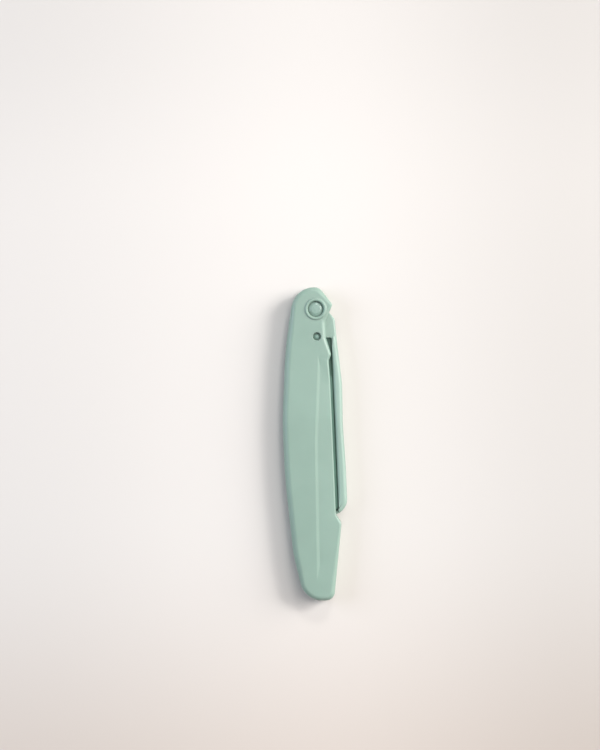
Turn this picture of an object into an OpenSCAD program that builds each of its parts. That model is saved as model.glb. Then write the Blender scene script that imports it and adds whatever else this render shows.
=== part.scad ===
// A folding eyebrow razor, folded shut and lying on its back.
// Two half shells make the handle and leave a channel between them. The head turns on a two-part rivet
// and folds into that channel, with its blade hidden and its back standing out along the slot.
// Sizes are in mm. Outline places are distances from the pivot: "out" to the left or right, and "drop"
// towards the tail.

/* [Handle left edge] */
// Height of the round end above the pivot
end_rise = 7.6; // [7.2:0.1:8.2]
// Distance left from the pivot to the upper left corner of the outline, before it is rounded
end_left = 7.1; // [6.8:0.1:7.4]
// Radius of the round end on its left side
end_left_r = 8; // [7:0.1:8]
// Distance left to where the upper edge starts to straighten
shoulder_out = 10.9; // [10.7:0.1:11.2]
// Distance down to where the upper edge starts to straighten
shoulder_drop = 12.4; // [11:0.2:14]
// Distance left to the widest part of the handle
belly_out = 13.1; // [12.9:0.1:14]
// Distance down to the start of the widest part
belly_top_drop = 38; // [35:0.5:41]
// Distance down to the end of the widest part
belly_low_drop = 57; // [55:0.5:60]
// Distance left to the corner above the tail
waist_out = 11.3; // [11:0.1:12]
// Distance down to the corner above the tail
waist_drop = 84.5; // [82:0.5:87]
// Radius of the slow bends along the left edge
slow_r = 120; // [80:5:140]
// Radius of the bend above the tail
waist_r = 45; // [30:1:55]

/* [Handle tail and slot edge] */
// Distance down to the tail's end
tail_drop = 100.5; // [98:0.5:104]
// Distance left to the tail's left corner, before it is rounded
tail_left = 7.9; // [7.5:0.1:8.3]
// Radius of the tail's left corner
tail_left_r = 7.6; // [6:0.2:8]
// Distance right to the tail's right corner, before it is rounded
tail_right = 2.1; // [1.8:0.1:3]
// Radius of the tail's right corner
tail_right_r = 3; // [2.2:0.1:3.4]
// Distance right to the corner where the tail steps out below the head's tip
step_out = 5.8; // [5.5:0.1:6.2]
// Distance from the head's tip down to that corner
step_below = 2.8; // [2.6:0.1:3.8]
// Radius of that corner
step_r = 2; // [1.2:0.1:2.4]
// Distance right to the shell's edge beside the slot
slot_out = 3.95; // [3.8:0.05:4.1]
// Distance down to where the slot edge has its full fall
slot_top_drop = 26; // [24:0.5:30]
// Distance from the slot edge back to the notch below the spur
notch_in = 0.2; // [0.1:0.05:0.3]
// Distance down to that notch
notch_drop = 17.8; // [17.5:0.1:19]
// Fall of the face at that notch
notch_fall = 0.1; // [0.05:0.05:0.2]
// Distance down to the spur, where the slanted edge comes close to the head's back
spur_drop = 15.9; // [15.3:0.1:16.2]
// Radius of the spur, and of the bend below it
spur_r = 1.6; // [1.4:0.1:1.8]
// Rounding of the outer edge at the spur
spur_round = 1.1; // [0.8:0.1:1.3]
// Gap between the spur and the head's back
spur_gap = 0.25; // [0.2:0.05:0.4]
// Distance right to the edge beside the neck
neck_edge_out = 3.15; // [2.9:0.05:3.3]
// Distance down to where the slanted edge starts
slant_top_drop = 9.9; // [9.4:0.1:10.4]
// Distance down to where the edge beside the neck starts
neck_edge_drop = 4.5; // [4.2:0.1:5]
// Distance right to the corner at the foot of the round end
nub_out = 5.85; // [5.6:0.05:6]
// Height of that corner above the pivot
nub_rise = 1.3; // [1.1:0.1:1.6]
// Radius of that corner
nub_r = 0.9; // [0.8:0.05:1]
// Distance right to the upper right corner of the outline, before it is rounded
end_right = 1.55; // [1.3:0.05:1.7]
// Radius of the round end on its right side
end_right_r = 3.6; // [3:0.1:3.8]
// Radius of the bends along the slot edge
bend_r = 2.6; // [2:0.1:3]

/* [Handle shells] */
// Thickness of the wall on each side of the channel
wall_t = 1.9; // [1.7:0.1:2.3]
// Width of the channel that the head folds into
channel_w = 3.8; // [3.6:0.1:4.4]
// Thickness of the wall that closes the left edge
rim_t = 1.5; // [1.3:0.1:1.7]
// Rounding of the outer edge along the left
side_round = 2.2; // [1.6:0.1:2.4]
// Rounding of the outer edge around the round end, thinner than the wall there
end_round = 1.7; // [1.2:0.1:1.7]
// Rounding of the outer edge around the tail
tail_round = 1.7; // [1.2:0.1:1.9]
// Rounding of the outer edge along the slot
slot_round = 0.8; // [0.5:0.05:0.85]
// Rounding of the outer edge beside the neck
neck_round = 1.5; // [1:0.1:1.6]
// Fall of the lower face from the crease to the slot edge
bevel_fall = 0.5; // [0.4:0.1:0.8]
// Distance down to the upper end of the crease, a soft step between the face and its lower part
crease_top_drop = 15; // [14:0.5:15.5]
// Distance right to the upper end of the crease
crease_top_out = 0.1; // [0:0.1:0.6]
// Distance down to the bend of the crease
crease_mid_drop = 46; // [40:0.5:52]
// Distance left to the bend of the crease
crease_mid_out = 2.4; // [2:0.1:2.8]
// Width of the crease's step
crease_w = 1.3; // [0.8:0.1:1.6]
// Fall across the crease's step
crease_fall = 0.3; // [0.2:0.05:0.35]
// Length in which the step sinks in at each end of the crease
crease_run = 6; // [2.5:0.5:8]
// Distance left to the lower end of the crease
crease_low_out = 3.6; // [3:0.1:4.2]
// Distance down to the lower end of the crease
crease_low_drop = 94; // [90:0.5:95]
// Distance left to the flat land that stops the head when it is open
open_stop_out = 6.65; // [6.6:0.01:6.7]
// Height of the land's upper end above the pivot
open_stop_rise = 4.2; // [4.1:0.1:4.4]
// Distance down to the land's lower end
open_stop_drop = 2; // [1.5:0.1:3]
// Distance from the head's tip down to the floor of the channel
tip_room = 1.3; // [1.1:0.1:1.6]
// Corner radius inside the shells
pocket_r = 1.6; // [1:0.1:2]
// Thickness of the wall between the channel and the hollow tail
tail_wall_t = 2.2; // [1.8:0.1:3]

/* [Locating pegs] */
// Radius of a peg
peg_r = 0.6; // [0.5:0.05:0.7]
// Height of a peg above the seam
peg_h = 1.3; // [1:0.1:1.6]
// Radial room around a peg in its socket, and beyond its end
peg_room = 0.05; // [0.03:0.01:0.1]
// Radius of the boss around a peg
boss_r = 1.5; // [1.4:0.1:1.8]
// Distance left to the peg near the round end
peg_top_out = 8.45; // [8.4:0.05:8.6]
// Distance down to that peg
peg_top_drop = 5; // [4.8:0.1:6]
// Distance left to the peg beside the blade
peg_mid_out = 11; // [10.8:0.1:11.2]
// Distance down to that peg
peg_mid_drop = 50; // [47:0.5:54]
// Distance left to the tail's left peg
peg_left_out = 8.6; // [8.2:0.1:8.8]
// Distance right to the tail's right peg
peg_right_out = 1.9; // [1.6:0.1:2.2]
// Distance down to the two upper tail pegs
peg_tail_drop = 79; // [78.5:0.5:81]
// Distance left to the lowest peg
peg_low_out = 2.6; // [2:0.1:3.4]
// Distance down to the lowest peg
peg_low_drop = 95; // [93:0.5:95.5]

/* [Pivot rivet and stop pin] */
// Radius of the rivet's two round heads
rivet_head_r = 2.55; // [2.4:0.05:2.7]
// Thickness of a rivet head
rivet_head_t = 0.85; // [0.7:0.05:0.95]
// Depth of a rivet head's face below the shell's face
rivet_head_sink = 0.15; // [0.1:0.05:0.25]
// Width of a rivet head's sloped rim
rivet_slope_w = 1; // [0.6:0.1:1.2]
// Fall of that rim
rivet_slope_h = 0.45; // [0.2:0.05:0.5]
// Outer radius of the rivet's barrel, which the head turns on
barrel_r = 1.75; // [1.6:0.05:1.9]
// Radius of the rivet's inner pin
core_r = 1.1; // [0.9:0.05:1.2]
// Closed length left in the barrel past the pin's end
barrel_floor_t = 0.6; // [0.5:0.1:1]
// Gap between the pin's end and the barrel's closed end
pin_room = 0.05; // [0.02:0.01:0.1]
// Radial running room between the barrel and the head
turn_room = 0.05; // [0.03:0.01:0.08]
// Radial room around a rivet head in its recess
recess_room = 0.1; // [0.05:0.01:0.15]
// Outer radius of the raised collar around the front rivet head
collar_r = 3.9; // [3.7:0.05:4]
// Reach of the collar's round profile past the recess wall, where it is trimmed
collar_lip = 0.4; // [0.3:0.05:0.5]
// Height of the collar above the shell's face
collar_rise = 0.4; // [0.3:0.05:0.6]
// Distance down to the stop pin
stop_drop = 9.5; // [9.3:0.1:9.7]
// Radius of the stop pin
stop_r = 1.05; // [1:0.05:1.1]
// Radius of the open mouth in front of the stop pin
stop_mouth_r = 1.4; // [1.3:0.05:1.5]
// Depth of that mouth
stop_mouth_t = 1.2; // [1:0.1:1.3]
// Height of the stop pin's domed end
stop_dome_h = 0.6; // [0.4:0.05:0.8]
// Depth of wall left behind the stop pin
stop_floor_t = 0.8; // [0.6:0.1:1]

/* [Head outline] */
// Radius of the round tang on the rivet
tang_r = 4.6; // [4.4:0.1:4.7]
// Clear gap between the tang and each side of the channel
side_gap = 0.1; // [0.08:0.01:0.2]
// Clear gap between the neck and the stop pin when the head is shut
stop_gap = 0.12; // [0.1:0.01:0.15]
// Distance right to where the shoulder leaves the tang
heel_out = 4.3; // [4.2:0.05:4.4]
// Distance down to where the shoulder leaves the tang
heel_drop = 0.9; // [0.7:0.1:1]
// Distance right to the shoulder above the neck
neck_out = 6.45; // [6.35:0.05:6.5]
// Distance down to that shoulder
neck_drop = 3.7; // [3.5:0.1:4]
// Distance right to the lower end of the neck
arm_out = 6.95; // [6.8:0.05:7.1]
// Distance down to the lower end of the neck
arm_drop = 12; // [11.5:0.5:13]
// Distance right to the upper swell of the head's back
back_top_out = 8.05; // [7.8:0.05:8.1]
// Distance down to the upper swell
back_top_drop = 26; // [25:0.5:28]
// Distance right to the hollow between the upper swell and the fullest part
back_low_out = 7.7; // [7.5:0.1:8]
// Distance down to that hollow
back_low_drop = 40; // [38:0.5:43]
// Distance right to the fullest part of the head's back
crest_out = 8.1; // [7.9:0.1:8.5]
// Distance down to where the fullest part starts
crest_drop = 54; // [52:0.5:56]
// Distance down to the head's tip
tip_drop = 71.2; // [70.8:0.1:71.3]
// Radius of the tip's outer corner
tip_r = 5.5; // [4.5:0.1:6]
// Radius of the tip's small corner on the blade side
tip_nose_r = 0.6; // [0.4:0.1:0.65]
// Distance left to the tip's corner on the blade side
tip_left = 3.2; // [3:0.1:3.3]
// Thickness of the bar across the tip
tip_bar_t = 1.4; // [1.2:0.05:1.45]
// Width of the slit between the shell's slot edge and the head's back
slit_w = 1.05; // [0.9:0.05:1.1]
// Distance down to the lower edge of the thick neck
neck_floor_drop = 10; // [9.8:0.1:10.4]
// Radius of the bends along the head's back
back_r = 30; // [20:1:40]
// Thickness of the head's back, outside the slot
back_t = 6.2; // [5.4:0.1:6.6]
// Rounding of the back's outer edges
back_round = 1.3; // [1:0.1:1.4]
// Rounding of the back's edges along the slot
inner_round = 0.9; // [0.5:0.1:1]
// Rounding of those edges at the back's upper end
inner_top_round = 0.2; // [0.1:0.05:0.25]
// Length in which that rounding grows at the upper end and fades at the tip
inner_run = 8; // [6:0.5:10]
// Step from the head's thin edge in to the thick back
back_step = 0.05; // [0.04:0.01:0.1]
// Distance down to the upper end of the thick back, at its outer side
back_start_drop = 9.6; // [9.2:0.1:10.4]
// Slanted run of that upper end
back_start_run = 3; // [2:0.1:4]

/* [Blade, keeper and guard] */
// Distance left to the upper end of the cutting edge
edge_top_out = 8.8; // [8.6:0.05:8.9]
// Distance down to the upper end of the cutting edge
edge_top_drop = 24.5; // [24:0.1:25.5]
// Distance left to the lower end of the cutting edge
edge_low_out = 3; // [2.9:0.05:3.2]
// Height of the cutting edge's lower end above the head's lower end
edge_low_room = 3.4; // [3.2:0.1:4.2]
// Width of the blade from its edge to its back
blade_w = 7.2; // [6.5:0.1:7.4]
// Thickness of the blade
blade_t = 0.3; // [0.25:0.05:0.35]
// Width of the ground bevel along the edge
grind_w = 1.1; // [0.8:0.1:1.1]
// Thickness of the web behind the blade
web_t = 1.1; // [1:0.05:1.3]
// Distance from the cutting edge to the web and the keeper
web_back = 2; // [1.9:0.05:2.2]
// Reach of the web past the upper end of the blade
web_over = 1.7; // [1.5:0.1:2.2]
// Reach of the web below the neck before it slants away
web_lip = 1.2; // [1:0.1:1.4]
// Thickness of the keeper plate
keeper_t = 0.9; // [0.8:0.05:1.1]
// Gap between the keeper plate and the head's back
keeper_gap = 0.2; // [0.15:0.05:0.4]
// Distance down to the keeper's corner on the back side
keeper_top_drop = 23; // [22.5:0.1:23.5]
// Reach of the keeper past the upper end of the blade
keeper_over = 1.2; // [1:0.1:1.4]
// Corner radius of the keeper plate
keeper_r = 0.8; // [0.6:0.1:0.9]
// Number of keeper rivets
rivet_count = 4; // [3:1:5]
// Distance from the blade's ends to the first and last rivet
rivet_end = 4; // [3.5:0.1:5]
// Distance from the cutting edge to the rivets
rivet_in = 4.8; // [4.4:0.1:4.9]
// Radius of a keeper rivet's shank
rivet_r = 0.6; // [0.5:0.05:0.7]
// Radius of a keeper rivet's heads
rivet_cap_r = 1.1; // [1:0.05:1.2]
// Height of a keeper rivet's heads
rivet_cap_h = 0.3; // [0.25:0.05:0.35]
// Radial room around a keeper rivet
rivet_room = 0.02; // [0.01:0.01:0.04]
// Distance between the guard's teeth, centre to centre
tooth_pitch = 1.25; // [1.1:0.05:1.6]
// Width of a tooth
tooth_w = 0.45; // [0.35:0.05:0.55]
// Reach of the teeth past the cutting edge
tooth_reach = 0.45; // [0.35:0.05:0.5]
// Distance from the cutting edge to the guard's side rails
rail_in = 1.15; // [1.1:0.05:1.2]
// Thickness of each side rail
rail_t = 0.6; // [0.55:0.05:0.65]
// Half thickness of a tooth over the cutting edge
nose_t = 0.5; // [0.45:0.05:0.6]
// Half thickness of a tooth at its tip
nose_tip_t = 0.2; // [0.15:0.05:0.25]
// Clear room between the guard and the blade
blade_room = 0.02; // [0.02:0.01:0.04]
// Length of the guard's closed ends
guard_end = 1.2; // [1:0.1:1.25]
// Width of the guard's two tabs
tab_w = 3.4; // [3:0.1:4]
// Reach of the tabs past the rivets
tab_over = 1.3; // [1.1:0.1:1.4]

/* [Hidden] */
$fn = 64;

// Widest turn in one step of a rounded corner, and the steps in the rounding of an outer edge
step_turn = 14;
edge_steps = 3;
// Steps in the small turned profiles
corner_steps = 6;
// Overrun of every cut past the face that it opens
cut = 0.5;
// A length past the whole object, for cuts that leave one side open
far = 40;

// The pivot's place puts the middle of the object's box over the origin
pivot = [(belly_out - crest_out) / 2, (tail_drop - end_rise) / 2];
half_t = wall_t + channel_w / 2;
seam_z = half_t;
face_z = 2 * half_t;
channel_drop = tip_drop + tip_room;
back_inner_out = slot_out + slit_w;
spur_out = back_inner_out - spur_gap;
// The crease on the face, from its lower end over its bend to its upper end, and the foot of its step
crease_low = [-crease_low_out, -crease_low_drop, half_t];
crease_mid = [-crease_mid_out, -crease_mid_drop, half_t];
crease_top = [crease_top_out, -crease_top_drop, half_t];
crease_step = [crease_w, 0, -crease_fall];
crease = [crease_low, crease_mid, crease_top,
    crease_low + crease_run * (crease_mid - crease_low) / norm(crease_mid - crease_low) + crease_step,
    crease_mid + crease_step,
    crease_top + crease_run * (crease_mid - crease_top) / norm(crease_mid - crease_top) + crease_step];
rivet_low_z = rivet_head_sink + rivet_head_t;
rivet_high_z = face_z - rivet_low_z;
recess_r = rivet_head_r + recess_room;
tang_t = channel_w - 2 * side_gap;
neck_left = stop_r + stop_gap;
edge_top = [-edge_top_out, -edge_top_drop];
edge_run = [edge_top_out - edge_low_out, edge_top_drop + edge_low_room - tip_drop];
edge_len = norm(edge_run);
along = edge_run / edge_len;
inward = [-along.y, along.x];
web_z = seam_z - blade_t / 2 - web_t;
keeper_z = seam_z + blade_t / 2;
rail_z = blade_t / 2 + blade_room + rail_t;
pegs = [[-peg_top_out, -peg_top_drop], [-peg_mid_out, -peg_mid_drop], [-peg_left_out, -peg_tail_drop],
    [peg_right_out, -peg_tail_drop], [-peg_low_out, -peg_low_drop]];
rivet_pitch = (edge_len - 2 * rivet_end) / (rivet_count - 1);
rivet_steps = [for (i = [0 : rivet_count - 1]) rivet_end + i * rivet_pitch];
tab_steps = [rivet_steps[0], rivet_steps[rivet_count - 1]];
tab_len = rivet_in + tab_over - web_back;
tooth_count = floor(edge_len / tooth_pitch);
first_gap = (edge_len - tooth_count * tooth_pitch + tooth_w) / 2;

// Each corner of the handle's outline: x, y, corner radius, edge rounding, fall of the face
shell_corners = [
    [-end_left, end_rise, end_left_r, end_round, 0],
    [-shoulder_out, -shoulder_drop, slow_r, side_round, 0],
    [-belly_out, -belly_top_drop, slow_r, side_round, 0],
    [-belly_out, -belly_low_drop, slow_r, side_round, 0],
    [-waist_out, -waist_drop, waist_r, side_round, 0],
    [-tail_left, -tail_drop, tail_left_r, tail_round, 0],
    [tail_right, -tail_drop, tail_right_r, tail_round, 0],
    [step_out, -tip_drop - step_below, step_r, slot_round, bevel_fall],
    [slot_out, -tip_drop, step_r, slot_round, bevel_fall],
    [slot_out, -slot_top_drop, back_r, slot_round, bevel_fall],
    [slot_out - notch_in, -notch_drop, spur_r, slot_round, notch_fall],
    [spur_out, -spur_drop, spur_r, spur_round, 0],
    [neck_edge_out, -slant_top_drop, bend_r, neck_round, 0],
    [neck_edge_out, -neck_edge_drop, bend_r, neck_round, 0],
    [nub_out, nub_rise, nub_r, slot_round, 0],
    [end_right, end_rise, end_right_r, end_round, 0],
];

// Each corner of the head's outer edge, from the tip up: x, y, corner radius
back_corners = [
    [crest_out, -tip_drop, tip_r],
    [crest_out, -crest_drop, back_r],
    [back_low_out, -back_low_drop, back_r],
    [back_top_out, -back_top_drop, back_r],
    [arm_out, -arm_drop, back_r],
];

// The points of one rounded corner q between its neighbours p and s, each with its outward direction,
// edge rounding and face fall
function corner(p, q, s) =
    let (
        a = [p.x - q.x, p.y - q.y],
        b = [s.x - q.x, s.y - q.y],
        ua = a / norm(a),
        ub = b / norm(b),
        half = acos(ua * ub) / 2,
        turn = sign(cross(-a, b)),
        steps = max(1, ceil((180 - 2 * half) / step_turn)),
        mid = (ua + ub) / norm(ua + ub),
        centre = [q.x, q.y] + mid * q[2] / sin(half),
        start = [q.x, q.y] + ua * q[2] / tan(half) - centre
    )
    q[2] == 0 ? [[q.x, q.y, -mid.x * turn, -mid.y * turn, q[3], q[4]]] :
    [for (i = [0 : steps])
        let (
            t = turn * (180 - 2 * half) * i / steps,
            d = [start.x * cos(t) - start.y * sin(t), start.x * sin(t) + start.y * cos(t)],
            n = turn * d / q[2]
        )
        [centre.x + d.x, centre.y + d.y, n.x, n.y, q[3], q[4]]];

// A closed outline with all its corners rounded
function outline(c) =
    let (n = len(c))
    [for (i = [0 : n - 1]) each corner(c[(i + n - 1) % n], c[i], c[(i + 1) % n])];

// A place measured along the cutting edge and in from it
function on_blade(x, y) = edge_top + x * along + y * inward;

// Whole numbers from a to b
function count(a, b) = [for (i = [a : b]) i];

// Twice the area of a triangle, negative where its points turn clockwise
function turned(a, b, c) = (b.x - a.x) * (c.y - a.y) - (b.y - a.y) * (c.x - a.x);

// Whether a corner can be cut off an outline: it turns outwards and its triangle holds no other point
function is_ear(points, c, i) =
    let (
        n = len(c),
        a = points[c[(i + n - 1) % n]],
        b = points[c[i]],
        d = points[c[(i + 1) % n]]
    )
    turned(a, b, d) > 0 && len([for (k = c)
        let (q = points[k])
        if (turned(a, b, q) > 0 && turned(b, d, q) > 0 && turned(d, a, q) > 0) k]) == 0;

// Triangles that fill the outline with the point numbers c, one corner cut off after another
function fill(points, c) =
    let (n = len(c))
    n < 3 ? [] :
    let (e = [for (i = [0 : n - 1]) if (is_ear(points, c, i)) i][0])
    concat(
        [[c[(e + n - 1) % n], c[e], c[(e + 1) % n]]],
        fill(points, [for (i = [0 : n - 1]) if (i != e) c[i]]));

// A face turned over
function flip(f) = [for (i = [len(f) - 1 : -1 : 0]) f[i]];

function flat(points) = [for (p = points) [p.x, p.y]];

// One ring of a rounded edge: turned in and up by the angle a
function edge_ring(points, top, a) = [for (p = points)
    [p.x - p[2] * p[4] * (1 - cos(a)), p.y - p[3] * p[4] * (1 - cos(a)), top - p[5] - p[4] * (1 - sin(a))]];

// The side faces between rings of n points each
function ring_faces(rings, n) = [for (k = [0 : rings - 2], i = [0 : n - 1])
    let (
        low = k * n,
        high = low + n,
        j = (i + 1) % n
    )
    each [[low + i, high + i, high + j], [low + i, high + j, low + j]]];

// Half of the handle as one solid: flat at the seam, rounded at its outer edge, and lower beside the slot,
// past the crease's step
module half_handle() {
    points = outline(shell_corners);
    n = len(points);
    angles = [for (k = [0 : edge_steps]) 90 * k / edge_steps];
    rings = concat([[for (p = points) [p.x, p.y, 0]]], [for (a = angles) edge_ring(points, half_t, a)]);
    // Numbers of the crease's first point, of the first and last points on the falling edge, and of the
    // last one below the crease's bend
    low = [for (i = [0 : n - 1]) if (points[i][5] > 0) i];
    r = len(rings) * n;
    a = r - n + low[0];
    b = r - n + low[len(low) - 1];
    s = r - n + max([for (i = low) if (points[i].y < -crease_mid_drop) i]);
    bevel = concat(
        [[a - 1, r + 3, r], [s, r + 4, r + 3], [s, s + 1, r + 4]],
        [[s + 1, r + 5, r + 4], [b + 1, r + 2, r + 5]],
        [for (i = [a - 1 : s - 1]) [i, i + 1, r + 3]],
        [for (i = [s + 1 : b]) [i, i + 1, r + 5]],
        [[r, r + 3, r + 1], [r + 3, r + 4, r + 1], [r + 1, r + 4, r + 5], [r + 1, r + 5, r + 2]]);
    all = concat([for (ring = rings) each ring], crease);
    plateau = fill(all, concat(count(b + 1, r - 1), count(r - n, a - 1), count(r, r + 2)));
    polyhedron(all, concat(
        fill(all, count(0, n - 1)),
        ring_faces(len(rings), n),
        [for (f = concat(bevel, plateau)) flip(f)]));
}

// The space between the shells: the channel, open along the slot and over the round end, and the hollow tail
module cavity() {
    difference() {
        translate([0, 0, wall_t])
            linear_extrude(channel_w)
                polygon(flat(outline([
                    [far, far, 0],
                    [-far, far, 0],
                    [-far, open_stop_rise, 0],
                    [-open_stop_out, open_stop_rise, 0],
                    [-open_stop_out, -open_stop_drop, pocket_r],
                    [rim_t - shoulder_out, -shoulder_drop, pocket_r],
                    [rim_t - belly_out, -belly_top_drop, pocket_r],
                    [rim_t - belly_out, -belly_low_drop, pocket_r],
                    [rim_t - waist_out, -waist_drop, pocket_r],
                    [rim_t - tail_left, rim_t - tail_drop, tail_left_r - rim_t],
                    [tail_right - rim_t, rim_t - tail_drop, pocket_r],
                    [step_out - rim_t, -tip_drop - step_below, 0],
                    [step_out - rim_t, -channel_drop, 0],
                    [far, -channel_drop, 0]])));
        translate([-far, -channel_drop - tail_wall_t, 0])
            cube([2 * far, tail_wall_t, face_z]);
        for (p = pegs)
            translate(p)
                cylinder(h = face_z, r = boss_r);
    }
}

// The recesses for the rivet's heads, the bore for its barrel, and the stop pin's hole
module handle_holes() {
    cylinder(h = face_z, r = barrel_r);
    translate([0, 0, -cut])
        cylinder(h = rivet_low_z + cut, r = recess_r);
    translate([0, 0, rivet_high_z])
        cylinder(h = far, r = recess_r);
    translate([0, -stop_drop, stop_floor_t])
        cylinder(h = face_z, r = stop_r);
    translate([0, -stop_drop, face_z - stop_mouth_t])
        cylinder(h = far, r = stop_mouth_r);
}

// The raised ring around the front rivet head, which the head's recess trims on its inner side
module collar() {
    inner = recess_r - collar_lip;
    mid = (collar_r + inner) / 2;
    rotate_extrude()
        polygon(concat(
            [[collar_r, face_z - slot_round]],
            [for (k = [1 : corner_steps - 1])
                let (t = 180 * k / corner_steps)
                [mid + (collar_r - mid) * cos(t), face_z + collar_rise * sin(t)]],
            [[inner, face_z - slot_round]]));
}

module front_shell() {
    color("#a5c2b8")
        at_pivot()
            difference() {
                union() {
                    translate([0, 0, seam_z])
                        half_handle();
                    collar();
                }
                cavity();
                handle_holes();
                for (p = pegs)
                    translate([p.x, p.y, seam_z - cut])
                        cylinder(h = peg_h + peg_room + cut, r = peg_r + peg_room);
            }
}

module back_shell() {
    color("#a5c2b8")
        at_pivot() {
            difference() {
                translate([0, 0, seam_z])
                    mirror([0, 0, 1])
                        half_handle();
                cavity();
                handle_holes();
            }
            for (p = pegs)
                translate([p.x, p.y, seam_z - peg_h])
                    cylinder(h = 2 * peg_h, r = peg_r);
        }
}

// The rivet's back head and the barrel that the head turns on
module pivot_barrel() {
    color("#a9c6bb")
        at_pivot()
            rotate_extrude()
                polygon([
                    [0, rivet_head_sink],
                    [rivet_head_r - rivet_slope_w, rivet_head_sink],
                    [rivet_head_r, rivet_head_sink + rivet_slope_h],
                    [rivet_head_r, rivet_low_z],
                    [barrel_r, rivet_low_z],
                    [barrel_r, rivet_high_z],
                    [core_r, rivet_high_z],
                    [core_r, rivet_low_z + barrel_floor_t],
                    [0, rivet_low_z + barrel_floor_t]]);
}

// The rivet's front head, seen inside the collar, and its pin
module pivot_pin() {
    top = face_z - rivet_head_sink;
    color("#a9c6bb")
        at_pivot()
            rotate_extrude()
                polygon([
                    [0, rivet_low_z + barrel_floor_t + pin_room],
                    [core_r, rivet_low_z + barrel_floor_t + pin_room],
                    [core_r, rivet_high_z],
                    [rivet_head_r, rivet_high_z],
                    [rivet_head_r, top - rivet_slope_h],
                    [rivet_head_r - rivet_slope_w, top],
                    [0, top]]);
}

// The pin that the shut head's neck rests against, seen in its open mouth
module stop_pin() {
    base = face_z - stop_mouth_t;
    color("#98b8ab")
        at_pivot()
            translate([0, -stop_drop, 0])
                rotate_extrude()
                    polygon(concat(
                        [[0, stop_floor_t], [stop_r, stop_floor_t], [stop_r, base]],
                        [for (k = [1 : corner_steps - 1])
                            let (t = 90 * k / corner_steps) [stop_r * cos(t), base + stop_dome_h * sin(t)]],
                        [[0, base + stop_dome_h]]));
}

// The thick back of the head, which stands out along the slot
module head_back() {
    edge = [for (p = outline(concat([[0, -neck_drop, 0], [0, -tip_drop, 0]], back_corners,
        [[neck_out, -neck_drop, tip_nose_r]])))
        if (p.x > back_inner_out + inner_top_round && p.y < -back_start_drop)
            [p.x - back_step * p[2], p.y - back_step * p[3], p[2], p[3], back_round, 0]];
    share = (back_start_drop - neck_drop) / (arm_drop - neck_drop);
    inner = back_inner_out + back_step;
    top_end = -back_start_drop - back_start_run;
    points = concat(
        [[inner, top_end, -1, 0, inner_top_round, 0]],
        [[inner, top_end - inner_run, -1, 0, inner_round, 0]],
        [[inner, edge[0].y + inner_run, -1, 0, inner_round, 0]],
        [[inner, edge[0].y, 0, edge[0][3], back_round, 0]],
        edge,
        [[neck_out + share * (arm_out - neck_out) - back_step, -back_start_drop, 1, 0, back_round, 0]]);
    n = len(points);
    up = [for (k = [0 : edge_steps]) edge_ring(points, back_t / 2, 90 * k / edge_steps)];
    down = [for (k = [edge_steps : -1 : 0]) [for (p = up[k]) [p.x, p.y, -p.z]]];
    rings = concat(down, up);
    last = (len(rings) - 1) * n;
    all = [for (r = rings) each r];
    translate([0, 0, seam_z])
        polyhedron(all, concat(
            fill(all, count(0, n - 1)),
            ring_faces(len(rings), n),
            [for (f = fill(all, count(last, last + n - 1))) flip(f)]));
}

// The neck, the back and the bar across the tip, as thick as the tang
module head_rib() {
    translate([0, 0, seam_z - tang_t / 2]) {
        cylinder(h = tang_t, r = tang_r);
        linear_extrude(tang_t)
            polygon(flat(outline(concat([
                [heel_out, -heel_drop, 0],
                [0, 0, 0],
                [neck_left, -neck_drop, 0],
                [neck_left, -neck_floor_drop, tip_nose_r],
                [back_inner_out, -neck_floor_drop, tip_nose_r],
                [back_inner_out, tip_bar_t - tip_drop, tip_nose_r],
                [-tip_left, tip_bar_t - tip_drop, tip_nose_r],
                [-tip_left, -tip_drop, tip_nose_r]],
                back_corners,
                [[neck_out, -neck_drop, tip_nose_r]]))));
    }
}

// The thin web that carries the blade
module head_web() {
    join_x = (back_inner_out + neck_out) / 2;
    top_end = on_blade(-web_over, web_back);
    low_end = on_blade(edge_len + guard_end, web_back);
    translate([0, 0, web_z])
        linear_extrude(web_t)
            polygon([
                [join_x, -stop_drop],
                [neck_left, -stop_drop],
                [neck_left, -neck_floor_drop - web_lip],
                top_end,
                low_end,
                [low_end.x, tip_bar_t / 2 - tip_drop],
                [join_x, tip_bar_t / 2 - tip_drop]]);
}

module head_frame() {
    color("#a3c3b7")
        at_pivot()
            difference() {
                union() {
                    head_rib();
                    head_back();
                    head_web();
                }
                cylinder(h = face_z, r = barrel_r + turn_room);
                rivet_holes();
                at_blade()
                    for (s = tab_steps)
                        translate([s - tab_w / 2 - blade_room, web_back - cut, -rail_z])
                            cube([tab_w + 2 * blade_room, tab_len + cut + blade_room, rail_z]);
            }
}

// A steel strip, ground to an edge from both sides
module blade() {
    color("#c9ced1")
        at_pivot()
            difference() {
                at_blade()
                    along_edge(0, edge_len)
                        polygon([
                            [0, 0],
                            [grind_w, -blade_t / 2],
                            [blade_w, -blade_t / 2],
                            [blade_w, blade_t / 2],
                            [grind_w, blade_t / 2]]);
                rivet_holes();
            }
}

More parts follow.
